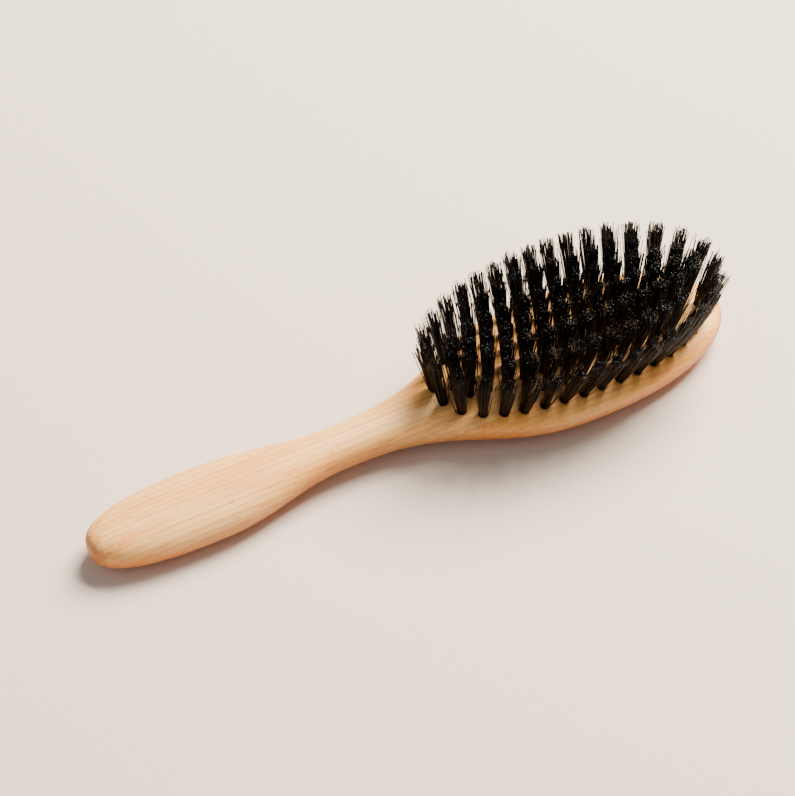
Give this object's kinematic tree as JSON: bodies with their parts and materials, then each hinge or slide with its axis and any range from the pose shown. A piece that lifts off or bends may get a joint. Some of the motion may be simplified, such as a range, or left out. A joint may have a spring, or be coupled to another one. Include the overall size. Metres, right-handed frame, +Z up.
{
  "type": "oval bristle hairbrush",
  "caption": "Oval beech hairbrush with a rounded handle, black bristle tufts fanned out across its head and a glued beech back.",
  "frame": {"origin": "midway along the length and across the width, on the surface that the brush lies on, bristles up", "axes": "+X from the end of the handle to the tip of the head, +Z up out along the bristles, +Y to the left looking from the handle to the head"},
  "size_m": [0.224, 0.0601, 0.0341],
  "materials": {
    "beech": "satin, oiled",
    "back_beech": "satin, oiled",
    "bristle": "natural black boar bristle, slightly glossy"
  },
  "bodies": {
    "root": {"brush_body": "beech", "back_cover": "back_beech", "tuft_row_01": "bristle", "tuft_row_02": "bristle", "tuft_row_03": "bristle", "tuft_row_04": "bristle", "tuft_row_05": "bristle", "tuft_row_06": "bristle", "tuft_row_07": "bristle", "tuft_row_08": "bristle", "tuft_row_09": "bristle", "tuft_row_10": "bristle", "tuft_row_11": "bristle", "tuft_row_12": "bristle", "tuft_row_13": "bristle", "tuft_row_14": "bristle", "tuft_row_15": "bristle", "tuft_row_16": "bristle", "tuft_row_17": "bristle", "tuft_row_18": "bristle", "tuft_row_19": "bristle", "tuft_row_20": "bristle", "tuft_row_21": "bristle", "tuft_row_22": "bristle", "tuft_row_23": "bristle", "tuft_row_24": "bristle", "tuft_row_25": "bristle", "tuft_row_26": "bristle", "tuft_row_27": "bristle", "tuft_row_28": "bristle", "tuft_row_29": "bristle", "tuft_row_30": "bristle", "tuft_row_31": "bristle"}
  },
  "joints": []
}
